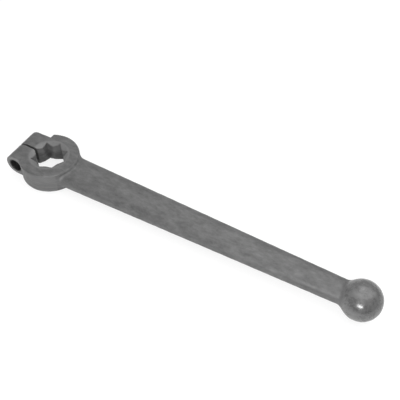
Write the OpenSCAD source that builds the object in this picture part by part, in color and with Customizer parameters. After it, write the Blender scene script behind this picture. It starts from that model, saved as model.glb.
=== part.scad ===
// Straight valve hand lever with a split clamp head, forged as one piece.
// Z is the valve stem's axis, and the origin is on it, half way up the hub.
// The arm runs along +X to its ball. The clamp bolt's hole runs along Y, behind the hub.
// All sizes are in millimetres.

/* [Hub] */
// Outside diameter of the hub
hub_d = 52; // [48:1:60]
// Height of the hub along the stem
hub_h = 19.5; // [17:0.5:24]
// Radius of the hub's outer edges
hub_edge_r = 1.5; // [1:0.25:3]

/* [Stem socket] */
// Distance across the flats of each of the two squares in the star
stem_af = 22; // [17:0.5:24]
// How much wider than the flats the round hole is that the star is broached from
pilot_over = 2.4; // [2:0.1:4]
// Metal that the countersink at both mouths takes off outside the star's points
mouth_rim = 0.8; // [0.4:0.1:2]
// Full angle of that countersink
mouth_angle = 130; // [90:5:140]

/* [Clamp lug] */
// Length of the lug along the bolt, over both ears
lug_len = 36; // [30:1:40]
// Radius of the edges at the lug's two ends
lug_edge_r = 0.8; // [0.4:0.1:1.6]
// Diameter of the flat seat that is milled for the bolt's head, into the hub's wall
head_seat_d = 22; // [20:0.5:28]
// Diameter of the wider seat that is milled for the nut at the other ear
nut_seat_d = 31.5; // [22:0.5:34]
// Diameter of the bolt's clearance hole
bolt_hole_d = 11; // [9:0.5:12]
// Width of the bevel at both ends of the bolt's hole
bolt_bevel = 0.5; // [0.3:0.1:1]
// Metal left between the socket's rear point and the bolt's hole
bolt_wall = 3.4; // [2:0.2:5]
// Width of the saw cut that parts the ears
slot_w = 2; // [1.5:0.25:3]

/* [Arm] */
// Length from the stem's axis to the ball's centre
lever_len = 285; // [180:1:400]
// Width of the arm where it leaves the hub
arm_root_w = 32.5; // [26:0.5:36]
// Thickness of the arm where it leaves the hub
arm_root_t = 15; // [12:0.5:16]
// Width of the arm at the ball
arm_tip_w = 20; // [14:0.5:24]
// Thickness of the arm at the ball
arm_tip_t = 14; // [10:0.5:18]
// Squareness of the arm's oval section: 2 is an ellipse, and more is fuller at the corners
arm_squareness = 2.6; // [2:0.1:4]
// Radius of the fillets between the arm's sides and the hub
root_r = 3; // [2:0.5:8]
// Radius of the fillets between the arm's top and bottom and the hub
root_top_r = 2.2; // [1:0.2:4]
// Radius of the fillet between the arm and the ball
neck_r = 2.5; // [1:0.5:5]

/* [Ball] */
// Diameter of the ball
ball_d = 32; // [28:1:40]

/* [Hidden] */
hub_r = hub_d / 2;
// The lug is as high as the hub, and its nose is half round.
lug_r = hub_h / 2;
ball_r = ball_d / 2;
// The socket's points reach half a square's diagonal from the stem's axis.
socket_tip_r = stem_af / sqrt(2);
bolt_x = -(socket_tip_r + bolt_wall + bolt_hole_d / 2);
// A fillet runs this far under the surface that it meets, so that the two cross cleanly.
bite = 0.15;
// Height of the arm's top above the centre of the hub's rounded edge.
top_over_edge = arm_root_t / 2 - hub_h / 2 + hub_edge_r;
// How far a cutting tool stands clear of the metal.
clear = 1;
round_fn = 96;
section_fn = 40;
root_steps = 9;
arm_steps = 6;
neck_steps = 8;

forged_grey = [0.37, 0.37, 0.38];

// Axial distance from the centre of a disc or ball of radius big to the centre of a fillet
// of radius r, which touches both the disc and a side that runs at distance half from the axis.
// A fillet that lies all below the disc's centre touches an upright wall instead.
function fillet_centre(big, half, r) = sqrt(pow(big + r, 2) - pow(max(0, half + r), 2));

// How much a fillet of radius r widens the arm at distance d past the fillet's centre.
// Past its touching point the fillet keeps its width, under the surface that it has met.
function fillet_rise(d, r, reach) = d <= 0 ? 0 : r - sqrt(r * r - pow(min(d, reach), 2));

// The same for the fillet on a disc or ball at distance along, seen from x inside the arm.
function end_rise(along, big, half, r) =
    let (centre = fillet_centre(big - bite, half, r))
    fillet_rise(centre - along, r, centre * r / (big - bite + r));

// Where the fillets beside the hub, and those above and below it, run out on the arm.
side_centre = [fillet_centre(hub_r - bite, arm_root_w / 2, root_r), arm_root_w / 2 + root_r];
side_end = norm([side_centre.x, arm_root_w / 2]);
top_end = hub_r - hub_edge_r + fillet_centre(hub_edge_r - bite, top_over_edge, root_top_r);

// How much the fillet beside the hub widens the arm, measured on an arc of radius s round the stem.
function side_rise(s) =
    let (
        reach = norm(side_centre),
        along = (s * s - root_r * root_r + reach * reach) / (2 * reach),
        off = sqrt(max(0, s * s - along * along))
    )
    s >= side_end ? 0 : (along * side_centre.y - off * side_centre.x) / reach - arm_root_w / 2;

// Plain taper from the hub's wall to the ball's centre, at distance s from the stem.
function taper(s, root, tip) = root + (tip - root) * (s - hub_r) / (lever_len - hub_r);

function arm_half_w(s) =
    taper(s, arm_root_w, arm_tip_w) / 2
    + side_rise(s)
    + end_rise(lever_len - s, ball_r, arm_tip_w / 2, neck_r);

function arm_half_t(s) =
    taper(s, arm_root_t, arm_tip_t) / 2
    + end_rise(s - hub_r + hub_edge_r, hub_edge_r, top_over_edge, root_top_r)
    + end_rise(lever_len - s, ball_r, arm_tip_t / 2, neck_r);

function signed_power(v, p) = sign(v) * pow(abs(v), p);

// Outline of the arm's flattened oval section at distance s from the stem.
function oval(s) = [
    for (i = [0 : section_fn - 1])
        let (a = 360 * i / section_fn, p = 2 / arm_squareness)
        [arm_half_w(s) * signed_power(cos(a), p), arm_half_t(s) * signed_power(sin(a), p)]
];

// That section stood square to the arm at x, or bent to run round the stem like the hub's wall.
function flat_section(s, x) = [for (q = oval(s)) [x, q.x, q.y]];
function bent_section(s) = [for (q = oval(s)) [sqrt(s * s - q.x * q.x), q.x, q.y]];

function stations(from, to, steps) = [for (i = [0 : steps - 1]) from + (to - from) * i / steps];

// Skins a list of sections, all with the same number of points, into one closed solid.
module loft(sections) {
    n = len(sections[0]);
    last = len(sections) - 1;
    points = [for (s = sections) each s];
    sides = [
        for (k = [0 : last - 1], i = [0 : n - 1])
            let (a = k * n + i, b = k * n + (i + 1) % n)
            each [[a, a + n, b], [b, a + n, b + n]]
    ];
    near_cap = [for (i = [0 : n - 1]) i];
    far_cap = [for (i = [n - 1 : -1 : 0]) last * n + i];
    polyhedron(points, concat([near_cap, far_cap], sides), convexity = 4);
}

// Rounded rectangle, centred, with its long side along the first axis.
module rounded_plate(length, height, r) {
    square([length, height - 2 * r], center = true);
    square([length - 2 * r, height], center = true);
    for (sx = [-1, 1], sy = [-1, 1])
        translate([sx * (length / 2 - r), sy * (height / 2 - r)])
            circle(r, $fn = round_fn);
}

// The half of that rectangle on the positive side of the second axis, to be revolved.
module turned_profile(radius, height, r) {
    intersection() {
        rounded_plate(2 * radius, height, r);
        translate([0, -height / 2])
            square([radius, height]);
    }
}

module hub_blank() {
    rotate_extrude($fn = round_fn)
        turned_profile(hub_r, hub_h, hub_edge_r);
}

// A half-round nose about the bolt's axis, and a straight web from it into the hub.
module lug_blank() {
    translate([bolt_x, 0, 0]) {
        rotate([90, 0, 0])
            rotate([0, 0, 90])
                rotate_extrude(angle = 180, $fn = round_fn)
                    turned_profile(lug_r, lug_len, lug_edge_r);
        rotate([90, 0, 90])
            linear_extrude(-bolt_x - socket_tip_r + lug_edge_r)
                rounded_plate(lug_len, hub_h, lug_edge_r);
    }
}

// The arm starts at the stem's axis, all inside the hub, and ends inside the ball.
module arm_blank() {
    root_start = hub_r - bite;
    root_end = max(side_end, top_end);
    neck_start = lever_len - fillet_centre(ball_r, arm_tip_t / 2, neck_r);
    neck_end = lever_len - ball_r / 2;
    root = concat(stations(root_start, root_end, root_steps), stations(root_end, neck_start, arm_steps));
    neck = concat(stations(neck_start, neck_end, neck_steps), [neck_end]);
    loft(concat(
        [flat_section(root_start, 0)],
        [for (s = root) bent_section(s)],
        [for (s = neck) flat_section(s, s)]
    ));
}

module ball_blank() {
    translate([lever_len, 0, 0])
        sphere(d = ball_d, $fn = round_fn);
}

// Two crossed squares make an eight-pointed star, with a point towards the arm and one at the slot.
module stem_socket() {
    cylinder(h = hub_h + 2 * clear, d = stem_af + pilot_over, center = true, $fn = round_fn);
    for (turn = [0, 45])
        rotate([0, 0, turn])
            cube([stem_af, stem_af, hub_h + 2 * clear], center = true);
    for (up = [0, 1])
        mirror([0, 0, up])
            translate([0, 0, hub_h / 2])
                countersink(stem_af / 2, socket_tip_r + mouth_rim, mouth_angle);
}

// Cutter with its mouth of radius wide on the face at z = 0, and its small end of radius narrow below.
module countersink(narrow, wide, angle) {
    depth = (wide - narrow) / tan(angle / 2);
    translate([0, 0, -depth])
        cylinder(h = depth + clear, r1 = narrow, r2 = wide + clear * tan(angle / 2), $fn = round_fn);
}

module clamp_slot() {
    slot_len = lug_r - bolt_x + clear;
    slot_h = hub_h + 2 * clear;
    translate([-slot_len, -slot_w / 2, -slot_h / 2])
        cube([slot_len, slot_w, slot_h]);
}

module bolt_hole() {
    translate([bolt_x, 0, 0])
        rotate([90, 0, 0]) {
            cylinder(h = lug_len + 2 * clear, d = bolt_hole_d, center = true, $fn = round_fn);
            for (up = [0, 1])
                mirror([0, 0, up])
                    translate([0, 0, lug_len / 2])
                        countersink(bolt_hole_d / 2, bolt_hole_d / 2 + bolt_bevel, 90);
        }
}

// Milling cutters that face the ears off square to the bolt, and cut into the hub's round wall.
module seat_cuts() {
    for (seat = [[1, head_seat_d], [0, nut_seat_d]])
        mirror([0, seat[0], 0])
            translate([bolt_x, lug_len / 2, 0])
                rotate([-90, 0, 0])
                    cylinder(h = hub_r, d = seat[1], $fn = round_fn);
}

module lever() {
    color(forged_grey)
        difference() {
            union() {
                hub_blank();
                lug_blank();
                arm_blank();
                ball_blank();
            }
            stem_socket();
            clamp_slot();
            bolt_hole();
            seat_cuts();
        }
}

lever();
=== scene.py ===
"""Looks of a forged valve hand lever: its skin with every fillet, its finish, light and camera.

Lengths are in metres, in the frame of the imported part: Z is the valve stem's axis, the arm runs
along +X to its ball, and the clamp bolt's hole runs along Y behind the hub.
"""

import math

import bpy
import numpy as np
from mathutils import Matrix, Vector


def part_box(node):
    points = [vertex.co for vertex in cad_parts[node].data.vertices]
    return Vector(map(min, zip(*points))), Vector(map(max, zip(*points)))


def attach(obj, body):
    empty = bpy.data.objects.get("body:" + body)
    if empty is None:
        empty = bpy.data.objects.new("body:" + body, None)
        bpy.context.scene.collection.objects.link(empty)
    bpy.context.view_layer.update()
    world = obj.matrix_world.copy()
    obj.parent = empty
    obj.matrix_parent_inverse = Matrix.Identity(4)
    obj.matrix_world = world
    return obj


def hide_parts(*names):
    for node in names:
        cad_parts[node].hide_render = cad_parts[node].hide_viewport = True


MM = 0.001

# Driving sizes of the part, the same as in its solid
HUB_R = 26 * MM
HUB_H = 19.5 * MM
HUB_EDGE_R = 1.5 * MM
STEM_AF = 22 * MM
PILOT_OVER = 2.4 * MM
MOUTH_RIM = 0.8 * MM
MOUTH_ANGLE = math.radians(130)
LUG_LEN = 36 * MM
LUG_EDGE_R = 0.8 * MM
HEAD_SEAT_R = 11 * MM
NUT_SEAT_R = 15.75 * MM
BOLT_HOLE_R = 5.5 * MM
BOLT_BEVEL = 0.5 * MM
BOLT_WALL = 3.4 * MM
SLOT_W = 2 * MM
LEVER_LEN = 285 * MM
ARM_ROOT_W = 32.5 * MM
ARM_ROOT_T = 15 * MM
ARM_TIP_W = 20 * MM
ARM_TIP_T = 14 * MM
ARM_SQUARENESS = 2.6
ROOT_SIDE_R = 3 * MM
ROOT_TOP_R = 2.2 * MM
NECK_R = 2.5 * MM
BALL_R = 16 * MM

SOCKET_TIP_R = STEM_AF / math.sqrt(2)
BOLT_X = -(SOCKET_TIP_R + BOLT_WALL + BOLT_HOLE_R)

# Fillet in the notch beside the lug, and the cuts' small edges, which only this skin has
NOTCH_R = 1.5 * MM
CUT_EDGE_R = 0.35 * MM

# Share of the arm's half width from which the root fillet grows to its radius at the side
SIDE_FROM = 0.6

# The skin's mesh: step across the lever, and along it at the head, on the arm and at the ball
STEP = 0.47 * MM
ARM_STEP = 2.0 * MM
BALL_STEP = 0.7 * MM
HEAD_END = HUB_R + 8 * MM
BALL_START = LEVER_LEN - 1.6 * BALL_R
MARGIN = 1.5 * MM

# Unevenness that the hammer left: height and length of the largest set of waves, and for each set
# its turn and phase in radians and its share of that size
WAVE_HEIGHT = 0.05 * MM
WAVE_LENGTH = 13 * MM
WAVE_SETS = ((0.3, 0.7, 1.0), (1.4, 2.9, 0.74), (2.5, 5.1, 0.53))

# Part of a noise's range that carries a surface from its darkest to its lightest
NOISE_SPAN = (0.3, 0.7)

# Greys of each kind of surface, darkest and lightest
SKIN = (0.07, 0.146)
MACHINED = (0.13, 0.175)
# Socket's walls: broaching streaks, and a grey darker than the other cuts that is painted shade
# inside the socket
BROACHED_STREAKS_AND_SHADE = (0.08, 0.145)
# Bolt hole's wall: near black, painted shade of the deep hole
HOLE_PAINTED_SHADE = (0.02, 0.03)
# Hub's round wall: turning streaks, and a lighter grey that is painted light, as the floor lights
# that wall
TURNED_STREAKS_AND_LIGHT = (0.09, 0.155)
GROUND = (0.08, 0.168)

# Roughness of the skin and of the ground ball, in the same way
SATIN = (0.48, 0.56)
SMOOTH = (0.25, 0.3)

# Repeats of each noise in a metre: its clouds, the lengthwise grain, the tools' streaks and the grit
CLOUD_SCALE = 170
GRAIN_SCALE = (105, 215, 215)
STREAK_SCALE = (60, 60, 1100)
GRIT_SCALE = 1100
GRIT_HEIGHT = 0.12 * MM

# Camera, found by fitting the part's outline to the photograph, 400 pixels square. The sensor is in
# millimetres, as Blender has it
IMAGE_PX = 400
CAMERA_AIM = Vector((0.142, 0, 0))
CAMERA_AZIMUTH = math.radians(29.73)
CAMERA_ELEVATION = math.radians(50.85)
CAMERA_DISTANCE = 0.5215
FOCAL_PX = 649.3
CENTRE_SHIFT_PX = (-7.6, 25.3)
SENSOR_W = 36
CLIP_START = 10 * MM

# Floor: its grey, how much of its white is its own and how strong, its gap under the lever, its
# reach in front of the ball, and to the other sides
FLOOR_GREY = (0.93, 0.93, 0.93, 1)
FLOOR_GLOW = 0.76
FLOOR_STRENGTH = 1.06
FLOOR_GAP = 0.05 * MM
FLOOR_FRONT = 75 * MM
FLOOR_REACH = 2.0

# Light of the room: its level where it is lightest, and where it starts and ends growing, as the
# cosine to the direction up and behind the lever
ROOM_LEVEL = 0.8
ROOM_DARK_AT = -0.5
ROOM_LIGHT_AT = 0.7

# Lamps: place from what they face, to the right, towards the camera and up; width and height; watts
OVERHEAD = ((0.07, 0.04, 0.5), (1.15, 0.8), 2.9)
BEHIND = ((0.2, -0.71, 1.09), (1.0, 0.62), 2.4)
GLINT = ((-0.26, 0.74, 0.29), (0.38, 0.15), 6.0)

WHITE = (1, 1, 1, 1)
UP = Vector((0, 0, 1))


def meet(a, b, radius=0.0):
    """Where two solids overlap, with their common edge rounded."""
    return np.minimum(np.maximum(a, b), -radius) + np.hypot(
        np.maximum(a + radius, 0), np.maximum(b + radius, 0)
    )


def join(a, b, radius):
    """Two solids together, with a fillet in the corner between them."""
    return np.maximum(np.minimum(a, b), radius) - np.hypot(
        np.maximum(radius - a, 0), np.maximum(radius - b, 0)
    )


def rectangle(u, v, half_u, half_v):
    """Signed distance to a rectangle that is centred on the origin."""
    du = np.abs(u) - half_u
    dv = np.abs(v) - half_v
    return np.hypot(np.maximum(du, 0), np.maximum(dv, 0)) + np.minimum(np.maximum(du, dv), 0)


def head_blank(x, y, z):
    """Hub and lug: one outline seen from above, and a half-round nose seen from the side."""
    hub = np.hypot(x, y) - HUB_R
    lug_end = BOLT_X - HUB_H
    lug = rectangle(x - lug_end / 2, y, -lug_end / 2, LUG_LEN / 2)
    outline = join(hub, lug, NOTCH_R)
    side = np.hypot(np.minimum(x - BOLT_X, 0), z) - HUB_H / 2
    notch_x = -math.sqrt(HUB_R**2 - (LUG_LEN / 2) ** 2)
    on_lug = np.clip((notch_x - x) / (2 * NOTCH_R) + 0.5, 0, 1)
    return meet(outline, side, HUB_EDGE_R + (LUG_EDGE_R - HUB_EDGE_R) * on_lug)


def arm_blank(x, y, z):
    """Tapered arm with a flattened oval section, from the socket to the ball's centre, and each
    point's share of its half width. The taper runs from 0 at the hub's wall to 1 at the ball."""
    along = np.clip((np.hypot(x, y) - HUB_R) / (LEVER_LEN - HUB_R), -0.2, 1)
    half_w = (ARM_ROOT_W + (ARM_TIP_W - ARM_ROOT_W) * along) / 2
    half_t = (ARM_ROOT_T + (ARM_TIP_T - ARM_ROOT_T) * along) / 2
    p = ARM_SQUARENESS
    across = np.abs(y) / half_w
    up = np.abs(z) / half_t
    size = np.maximum((across**p + up**p) ** (1 / p), 1e-3)
    steepness = np.hypot(
        (across / size) ** (p - 1) / half_w, (up / size) ** (p - 1) / half_t
    )
    section = (size - 1) / np.maximum(steepness, 1e-6)
    return meet(section, np.maximum(SOCKET_TIP_R - x, x - LEVER_LEN)), across


def ball_blank(x, y, z):
    """Ball at the arm's end."""
    return np.sqrt((x - LEVER_LEN) ** 2 + y**2 + z**2) - BALL_R


def star(x, y):
    """Two crossed squares, broached from a round hole."""
    diagonal = math.sqrt(0.5)
    upright = rectangle(x, y, STEM_AF / 2, STEM_AF / 2)
    turned = rectangle((x + y) * diagonal, (x - y) * diagonal, STEM_AF / 2, STEM_AF / 2)
    pilot = np.hypot(x, y) - (STEM_AF + PILOT_OVER) / 2
    return join(join(upright, turned, CUT_EDGE_R), pilot, CUT_EDGE_R)


def stem_socket(x, y, z):
    """Eight-pointed star through the hub, with a countersink at both mouths."""
    half_angle = MOUTH_ANGLE / 2
    depth = HUB_H / 2 - np.abs(z)
    mouth = SOCKET_TIP_R + MOUTH_RIM - depth * math.tan(half_angle)
    countersink = (np.hypot(x, y) - mouth) * math.cos(half_angle)
    return np.minimum(star(x, y), countersink)


def clamp_slot(x, y):
    """Saw cut from the socket out through the lug."""
    return np.maximum(np.abs(y) - SLOT_W / 2, x)


def bolt_hole(x, y, z):
    """Cross hole with a bevel at both ends."""
    from_bolt = np.hypot(x - BOLT_X, z)
    bevel = (from_bolt - BOLT_HOLE_R - BOLT_BEVEL + LUG_LEN / 2 - np.abs(y)) / math.sqrt(2)
    return np.minimum(from_bolt - BOLT_HOLE_R, bevel)


def bolt_seat(x, y, z, radius, side):
    """Flat that a milling cutter leaves on one ear, cut into the hub's wall beside it."""
    return np.maximum(np.hypot(x - BOLT_X, z) - radius, LUG_LEN / 2 - side * y)


def hammer_marks(x, y, z):
    """Shallow waves with no pattern to them: three sets of crossed sines."""
    total = 0
    for turn, phase, share in WAVE_SETS:
        length = WAVE_LENGTH * share
        u = (x * math.cos(turn) + y * math.sin(turn)) / length
        v = (y * math.cos(turn) - x * math.sin(turn) + 0.8 * z) / length
        total = total + share * np.sin(2 * math.pi * u + phase) * np.sin(2 * math.pi * v - phase)
    return WAVE_HEIGHT * total


def forging(x, y, z):
    """Signed distance to the forged blank, before it is machined."""
    head = head_blank(x, y, z)
    arm, across = arm_blank(x, y, z)
    at_side = np.clip((across - SIDE_FROM) / (1 - SIDE_FROM), 0, 1)
    root_r = ROOT_TOP_R + (ROOT_SIDE_R - ROOT_TOP_R) * at_side
    handle = join(join(head, arm, root_r), ball_blank(x, y, z), NECK_R)
    return handle + hammer_marks(x, y, z)


def cuts(x, y, z):
    """Signed distance to all that is broached, drilled, sawn and milled away."""
    seats = np.minimum(
        bolt_seat(x, y, z, HEAD_SEAT_R, -1), bolt_seat(x, y, z, NUT_SEAT_R, 1)
    )
    holes = np.minimum(stem_socket(x, y, z), bolt_hole(x, y, z))
    return np.minimum(np.minimum(holes, clamp_slot(x, y)), seats)


def lever_field(x, y, z):
    """Signed distance to the finished lever."""
    return meet(forging(x, y, z), -cuts(x, y, z), CUT_EDGE_R)


def steps(start, end, step):
    """Even positions from start up to, and without, end."""
    return np.linspace(start, end, round((end - start) / step), endpoint=False)


def grid_lines():
    """Positions of the grid along X, Y and Z. They are wider apart on the plain arm."""
    low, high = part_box("lever")
    xs = np.concatenate([
        steps(low.x - MARGIN, HEAD_END, STEP),
        steps(HEAD_END, BALL_START, ARM_STEP),
        steps(BALL_START, high.x + MARGIN, BALL_STEP),
    ])
    ys = steps(low.y - MARGIN, high.y + MARGIN, STEP)
    zs = steps(low.z - MARGIN, high.z + MARGIN, STEP)
    return xs, ys, zs


def crossed_edges(values, lines, axis):
    """Grid edges along one axis that the surface crosses: their starts, where it crosses them, and
    whether the quad over each is already in the order that faces out."""
    a = np.moveaxis(values, axis, 0)[:-1]
    b = np.moveaxis(values, axis, 0)[1:]
    where = np.argwhere((a < 0) != (b < 0))
    va = a[tuple(where.T)]
    vb = b[tuple(where.T)]
    starts = np.insert(where[:, 1:], axis, where[:, 0], axis=1)
    points = np.stack([lines[i][starts[:, i]] for i in range(3)], axis=1)
    width = np.diff(lines[axis])[starts[:, axis]]
    points[:, axis] += width * va / (va - vb)
    return starts, points, (va < 0) != (axis == 1)


def cells_around(starts, axis):
    """The four cells that share each edge, in order round it."""
    u, v = [i for i in range(3) if i != axis]
    around = []
    for du, dv in ((0, 0), (1, 0), (1, 1), (0, 1)):
        cell = starts.copy()
        cell[:, u] -= du
        cell[:, v] -= dv
        around.append(cell)
    return around


def surface_net(field, lines):
    """One point in each cell that the surface crosses, and a quad over each edge that it crosses."""
    values = field(*np.meshgrid(*lines, indexing="ij", sparse=True))
    shape = tuple(n - 1 for n in values.shape)
    total = np.zeros(shape + (3,), np.float32)
    count = np.zeros(shape, np.float32)
    crossings = []
    for axis in range(3):
        starts, points, outward = crossed_edges(values, lines, axis)
        around = cells_around(starts, axis)
        for cell in around:
            np.add.at(total, tuple(cell.T), points)
            np.add.at(count, tuple(cell.T), 1)
        crossings.append((around, outward))
    used = np.argwhere(count > 0)
    number = np.full(shape, -1, np.int32)
    number[tuple(used.T)] = np.arange(len(used))
    vertices = total[tuple(used.T)] / count[tuple(used.T)][:, None]
    faces = []
    for around, outward in crossings:
        quads = np.stack([number[tuple(cell.T)] for cell in around], axis=1)
        quads[~outward] = quads[~outward][:, ::-1]
        faces.append(quads)
    return vertices.astype(np.float64), np.concatenate(faces)


def slope(field, points, reach):
    """How steeply the field rises along each axis at each point, over a short reach."""
    rise = np.empty_like(points)
    for axis in range(3):
        ahead = points.copy()
        ahead[:, axis] += reach
        behind = points.copy()
        behind[:, axis] -= reach
        rise[:, axis] = (field(*ahead.T) - field(*behind.T)) / (2 * reach)
    return rise


def settle(field, points, rounds=4):
    """Moves points onto the surface, by no more than half a grid step each time."""
    for _ in range(rounds):
        rise = slope(field, points, STEP / 10)
        steep = np.maximum((rise**2).sum(1), 0.05)
        move = -(field(*points.T) / steep)[:, None] * rise
        length = np.maximum(np.linalg.norm(move, axis=1), 1e-12)
        points = points + move * np.minimum(1, STEP / 2 / length)[:, None]
    return points


def mark(mesh, name, amount):
    """Writes how far each point belongs to a kind of surface, from 0 to 1, for the finish to use."""
    layer = mesh.attributes.new(name, "FLOAT", "POINT")
    layer.data.foreach_set("value", amount.astype(np.float32))


def near(distance):
    """1 within half a grid step of a surface, falling to 0 at one and a half steps."""
    return np.clip(1.5 - np.abs(distance) / STEP, 0, 1)


def hub_wall(x, y):
    """1 on the hub's round wall outside the arm's width and fillets, and 0 elsewhere."""
    fillet_y = (ARM_ROOT_W / 2 + ROOT_SIDE_R) * HUB_R / (HUB_R + ROOT_SIDE_R)
    return near(np.hypot(x, y) - HUB_R) * np.clip((np.abs(y) - fillet_y) / STEP, 0, 1)


def lever_skin():
    """The whole lever as one mesh, with smooth normals and each kind of surface marked."""
    vertices, faces = surface_net(lever_field, grid_lines())
    vertices = settle(lever_field, vertices)
    mesh = bpy.data.meshes.new("lever_skin")
    mesh.from_pydata(vertices.tolist(), [], faces.tolist())
    mesh.shade_smooth()
    normals = slope(lever_field, vertices, STEP / 4)
    normals /= np.maximum(np.linalg.norm(normals, axis=1), 1e-9)[:, None]
    mesh.normals_split_custom_set_from_vertices(normals.tolist())
    x, y, z = vertices.T
    mark(mesh, "machined", near(cuts(x, y, z)))
    # Socket's walls: marked for their broaching streaks and painted shade
    mark(mesh, "broached", near(star(x, y)))
    # Bolt hole's wall: marked for its painted shade, near black
    mark(mesh, "drilled", near(bolt_hole(x, y, z)))
    mark(mesh, "ground", near(ball_blank(x, y, z)))
    # Hub's round wall: marked for its turning streaks and painted light
    mark(mesh, "turned", hub_wall(x, y))
    piece = bpy.data.objects.new("lever_skin", mesh)
    bpy.context.scene.collection.objects.link(piece)
    return piece


def add(tree, kind, **values):
    """New node with its plain inputs set by name."""
    node = tree.nodes.new(kind)
    for name, value in values.items():
        node.inputs[name.replace("_", " ")].default_value = value
    return node


def stretched_noise(tree, place, scale, detail, roughness):
    """Noise with its own scale along each axis."""
    mapping = add(tree, "ShaderNodeMapping", Scale=scale)
    tree.links.new(place, mapping.inputs["Vector"])
    noise = add(tree, "ShaderNodeTexNoise", Scale=1, Detail=detail, Roughness=roughness)
    tree.links.new(mapping.outputs["Vector"], noise.inputs["Vector"])
    return noise


def greys(tree, noise, span):
    """Grey, or a value in its place, that a noise carries from a span's first end to its second."""
    ramp = tree.nodes.new("ShaderNodeValToRGB")
    for element, place, grey in zip(ramp.color_ramp.elements, NOISE_SPAN, span):
        element.position = place
        element.color = (grey, grey, grey, 1)
    tree.links.new(noise.outputs["Fac"], ramp.inputs["Fac"])
    return ramp.outputs["Color"]


def laid_over(tree, under, over, name):
    """One grey, and another where the mesh has the mark of that name."""
    marked = tree.nodes.new("ShaderNodeAttribute")
    marked.attribute_name = name
    mix = tree.nodes.new("ShaderNodeMix")
    mix.data_type = "RGBA"
    tree.links.new(marked.outputs["Fac"], mix.inputs["Factor"])
    tree.links.new(under, mix.inputs["A"])
    tree.links.new(over, mix.inputs["B"])
    return mix.outputs["Result"]


def forged_steel():
    """Satin dark grey skin of a blasted forging, lighter where it is machined or ground, with painted
    light on the hub's turned wall and painted shade in the socket and the bolt hole.
    """
    material = bpy.data.materials.new("forged_steel")
    material.use_nodes = True
    tree = material.node_tree
    link = tree.links.new
    surface = tree.nodes["Principled BSDF"]
    surface.inputs["Metallic"].default_value = 0.35
    surface.inputs["Specular IOR Level"].default_value = 0.5
    place = tree.nodes.new("ShaderNodeTexCoord").outputs["Object"]

    cloud = add(tree, "ShaderNodeTexNoise", Scale=CLOUD_SCALE, Detail=8, Roughness=0.72)
    link(place, cloud.inputs["Vector"])
    streaks = stretched_noise(tree, place, STREAK_SCALE, 4, 0.6)
    grain = stretched_noise(tree, place, GRAIN_SCALE, 8, 0.72)

    skin = greys(tree, grain, SKIN)
    cut = laid_over(tree, skin, greys(tree, cloud, MACHINED), "machined")
    # Painted shade: the socket's walls a darker grey than the other cuts, with broaching streaks
    socket = laid_over(tree, cut, greys(tree, streaks, BROACHED_STREAKS_AND_SHADE), "broached")
    # Painted shade: the bolt hole's wall near black
    hole = laid_over(tree, socket, greys(tree, cloud, HOLE_PAINTED_SHADE), "drilled")
    # Painted light: the hub's round wall a lighter grey, with turning streaks
    hub = laid_over(tree, hole, greys(tree, streaks, TURNED_STREAKS_AND_LIGHT), "turned")
    ball = laid_over(tree, hub, greys(tree, cloud, GROUND), "ground")
    link(ball, surface.inputs["Base Color"])

    satin = greys(tree, cloud, SATIN)
    smooth = greys(tree, cloud, SMOOTH)
    link(laid_over(tree, satin, smooth, "ground"), surface.inputs["Roughness"])

    grit = add(tree, "ShaderNodeTexNoise", Scale=GRIT_SCALE, Detail=3, Roughness=0.6)
    link(place, grit.inputs["Vector"])
    bump = add(tree, "ShaderNodeBump", Strength=0.35, Distance=GRIT_HEIGHT)
    link(grit.outputs["Fac"], bump.inputs["Height"])
    link(bump.outputs["Normal"], surface.inputs["Normal"])
    return material


def seen_directly(tree):
    """1 where the camera or a gloss sees the surface, and 0 for the light it gives."""
    path = tree.nodes.new("ShaderNodeLightPath")
    either = tree.nodes.new("ShaderNodeMath")
    either.operation = "MAXIMUM"
    tree.links.new(path.outputs["Is Camera Ray"], either.inputs[0])
    tree.links.new(path.outputs["Is Glossy Ray"], either.inputs[1])
    return either.outputs["Value"]


def shadowed_white():
    """Pale paper that is mostly its own white where it is seen, so that it keeps a faint shadow."""
    material = bpy.data.materials.new("white_floor")
    material.use_nodes = True
    tree = material.node_tree
    link = tree.links.new
    tree.nodes.clear()
    paper = add(tree, "ShaderNodeBsdfDiffuse", Color=FLOOR_GREY)
    glow = add(tree, "ShaderNodeEmission", Color=WHITE, Strength=FLOOR_STRENGTH)
    share = tree.nodes.new("ShaderNodeMath")
    share.operation = "MULTIPLY"
    share.inputs[1].default_value = FLOOR_GLOW
    link(seen_directly(tree), share.inputs[0])
    blend = tree.nodes.new("ShaderNodeMixShader")
    link(share.outputs["Value"], blend.inputs["Fac"])
    link(paper.outputs["BSDF"], blend.inputs[1])
    link(glow.outputs["Emission"], blend.inputs[2])
    link(blend.outputs["Shader"], add(tree, "ShaderNodeOutputMaterial").inputs["Surface"])
    return material


def white_floor():
    """White floor that touches the hub's rear edge and the ball."""
    rear = -(HUB_R - HUB_EDGE_R)
    fall = (BALL_R - HUB_H / 2) / (LEVER_LEN - rear)
    right, toward = floor_axes()
    front = LEVER_LEN * toward.x + FLOOR_FRONT
    mesh = bpy.data.meshes.new("floor")
    plan = (
        (-FLOOR_REACH, front), (FLOOR_REACH, front),
        (FLOOR_REACH, -FLOOR_REACH), (-FLOOR_REACH, -FLOOR_REACH),
    )
    corners = []
    for across, ahead in plan:
        x, y, _ = right * across + toward * ahead
        corners.append((x, y, -HUB_H / 2 - fall * (x - rear) - FLOOR_GAP))
    mesh.from_pydata(corners, [], [(0, 1, 2, 3)])
    mesh.materials.append(shadowed_white())
    floor = bpy.data.objects.new("floor", mesh)
    bpy.context.scene.collection.objects.link(floor)


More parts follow.
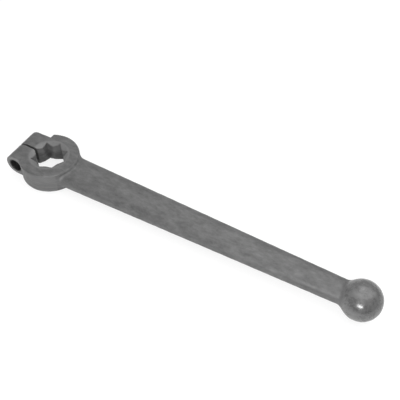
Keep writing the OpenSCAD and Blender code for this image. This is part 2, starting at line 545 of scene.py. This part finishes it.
def white_surroundings():
    """Room that is lightest above and behind the lever, and white where the camera sees it."""
    world = bpy.data.worlds.new("surroundings")
    world.use_nodes = True
    tree = world.node_tree
    link = tree.links.new
    tree.nodes.clear()
    light = add(tree, "ShaderNodeBackground", Color=WHITE)
    white = add(tree, "ShaderNodeBackground", Color=WHITE, Strength=1.0)
    toward_light = tree.nodes.new("ShaderNodeVectorMath")
    toward_light.operation = "DOT_PRODUCT"
    link(tree.nodes.new("ShaderNodeTexCoord").outputs["Generated"], toward_light.inputs[0])
    _, toward = floor_axes()
    toward_light.inputs[1].default_value = (UP - toward).normalized()
    level = add(
        tree, "ShaderNodeMapRange",
        From_Min=ROOM_DARK_AT, From_Max=ROOM_LIGHT_AT, To_Min=0, To_Max=ROOM_LEVEL,
    )
    link(toward_light.outputs["Value"], level.inputs["Value"])
    link(level.outputs["Result"], light.inputs["Strength"])
    path = tree.nodes.new("ShaderNodeLightPath")
    blend = tree.nodes.new("ShaderNodeMixShader")
    link(path.outputs["Is Camera Ray"], blend.inputs["Fac"])
    link(light.outputs["Background"], blend.inputs[1])
    link(white.outputs["Background"], blend.inputs[2])
    link(blend.outputs["Shader"], add(tree, "ShaderNodeOutputWorld").inputs["Surface"])
    bpy.context.scene.world = world


def camera_axes():
    """Directions to the picture's right, to its top and back to the camera."""
    flat = math.cos(CAMERA_ELEVATION)
    back = Vector((
        math.sin(CAMERA_AZIMUTH) * flat,
        -math.cos(CAMERA_AZIMUTH) * flat,
        math.sin(CAMERA_ELEVATION),
    ))
    right = Vector((math.cos(CAMERA_AZIMUTH), math.sin(CAMERA_AZIMUTH), 0))
    return right, back.cross(right), back


def floor_axes():
    """Level directions to the picture's right and towards the camera."""
    right, _, _ = camera_axes()
    return right, Vector((right.y, -right.x, 0))


def softbox(name, aim, values):
    """Rectangular lamp at its place from a point, turned to face that point."""
    (across, ahead, above), (width, height), watts = values
    right, toward = floor_axes()
    place = aim + right * across + toward * ahead + UP * above
    lamp = bpy.data.lights.new(name, "AREA")
    lamp.shape = "RECTANGLE"
    lamp.size = width
    lamp.size_y = height
    lamp.energy = watts
    holder = bpy.data.objects.new(name, lamp)
    holder.location = place
    holder.rotation_euler = (place - aim).to_track_quat("Z", "Y").to_euler()
    bpy.context.scene.collection.objects.link(holder)


def studio_light():
    """Softboxes over the ball and high behind, and a small lamp low in front for the ball's glint."""
    ball = Vector((LEVER_LEN, 0, 0))
    softbox("overhead", ball, OVERHEAD)
    softbox("behind", ball / 2, BEHIND)
    softbox("glint", ball, GLINT)


def camera():
    """Camera at the photograph's viewing angle, with its small shift."""
    right, up, back = camera_axes()
    lens = bpy.data.cameras.new("camera")
    lens.sensor_width = SENSOR_W
    lens.lens = SENSOR_W * FOCAL_PX / IMAGE_PX
    lens.shift_x = -CENTRE_SHIFT_PX[0] / IMAGE_PX
    lens.shift_y = CENTRE_SHIFT_PX[1] / IMAGE_PX
    lens.clip_start = CLIP_START
    holder = bpy.data.objects.new("camera", lens)
    pose = Matrix((right, up, back)).transposed().to_4x4()
    pose.translation = CAMERA_AIM + CAMERA_DISTANCE * back
    holder.matrix_world = pose
    bpy.context.scene.collection.objects.link(holder)
    bpy.context.scene.camera = holder


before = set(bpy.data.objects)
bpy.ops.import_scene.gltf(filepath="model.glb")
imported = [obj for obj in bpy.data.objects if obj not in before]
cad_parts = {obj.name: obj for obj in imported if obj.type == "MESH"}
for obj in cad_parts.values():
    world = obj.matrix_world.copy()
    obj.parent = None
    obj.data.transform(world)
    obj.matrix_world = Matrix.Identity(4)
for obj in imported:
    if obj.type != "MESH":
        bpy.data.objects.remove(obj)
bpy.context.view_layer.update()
camera()
skin = lever_skin()
skin.data.materials.append(forged_steel())
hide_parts("lever")
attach(skin, "root")
white_floor()
white_surroundings()
studio_light()
bpy.context.scene.view_settings.view_transform = "Standard"
